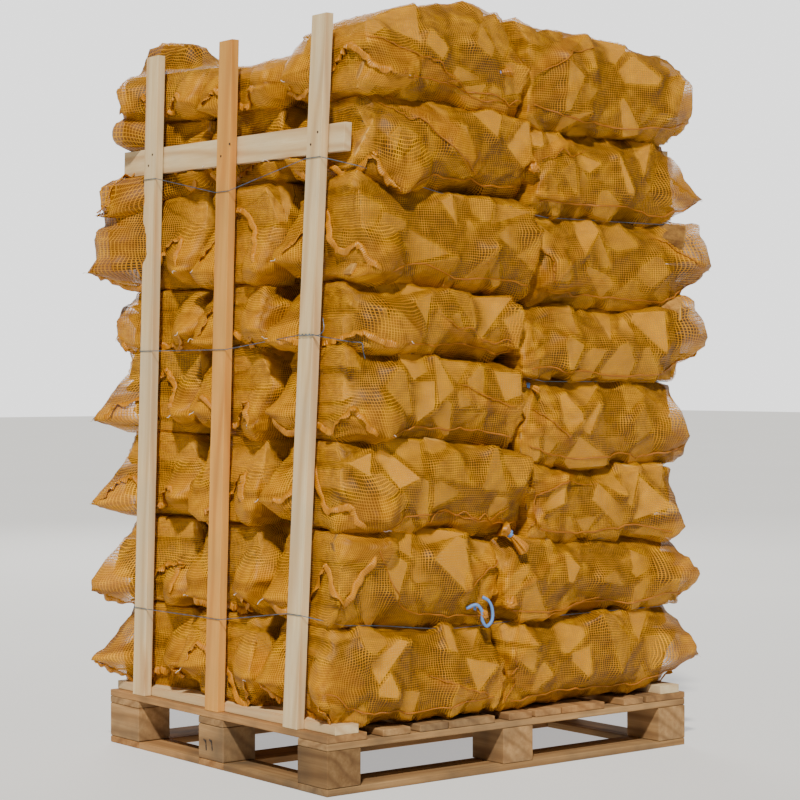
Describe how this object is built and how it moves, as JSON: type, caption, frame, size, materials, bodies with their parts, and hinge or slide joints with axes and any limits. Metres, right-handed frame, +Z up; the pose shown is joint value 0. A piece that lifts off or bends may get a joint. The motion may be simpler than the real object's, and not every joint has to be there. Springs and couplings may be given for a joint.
{
  "type": "pallet of sacks",
  "caption": "Wooden block pallet stacked high with net sacks of split firewood, held between two light timber end panels that taut wires tie together.",
  "frame": {"origin": "middle of the pallet's underside, on the floor", "axes": "+X along the pallet's long side, the end panels standing at its two ends; +Y across the pallet; +Z up"},
  "size_m": [1.314, 1.029, 1.915],
  "materials": {
    "pallet_wood": "weathered rough-sawn softwood",
    "fresh_timber": "fresh rough-sawn softwood",
    "net_sack": "knitted orange plastic net over split firewood",
    "steel_wire": "dull blue-grey tie wire"
  },
  "bodies": {
    "root": {"base_board_1": "pallet_wood", "base_board_2": "pallet_wood", "base_board_3": "pallet_wood", "base_cross_1": "pallet_wood", "base_cross_2": "pallet_wood", "base_cross_3": "pallet_wood", "base_cross_4": "pallet_wood", "block_1_1": "pallet_wood", "block_1_2": "pallet_wood", "block_1_3": "pallet_wood", "block_2_1": "pallet_wood", "block_2_2": "pallet_wood", "block_2_3": "pallet_wood", "block_3_1": "pallet_wood", "block_3_2": "pallet_wood", "block_3_3": "pallet_wood", "deck_board_1": "pallet_wood", "deck_board_2": "pallet_wood", "deck_board_3": "pallet_wood", "deck_board_4": "pallet_wood", "deck_board_5": "pallet_wood", "deck_board_6": "pallet_wood", "deck_board_7": "pallet_wood", "deck_board_8": "pallet_wood", "deck_board_9": "pallet_wood", "left_rail": "fresh_timber", "left_strip": "fresh_timber", "left_upright_1": "fresh_timber", "left_upright_2": "fresh_timber", "left_upright_3": "fresh_timber", "right_rail": "fresh_timber", "right_strip": "fresh_timber", "right_upright_1": "fresh_timber", "right_upright_2": "fresh_timber", "right_upright_3": "fresh_timber", "sack_layer_1": "net_sack", "sack_layer_2": "net_sack", "sack_layer_3": "net_sack", "sack_layer_4": "net_sack", "sack_layer_5": "net_sack", "sack_layer_6": "net_sack", "sack_layer_7": "net_sack", "sack_layer_8": "net_sack", "stringer_1": "pallet_wood", "stringer_2": "pallet_wood", "stringer_3": "pallet_wood", "wire_low": "steel_wire", "wire_middle": "steel_wire", "wire_top": "steel_wire"}
  },
  "joints": []
}
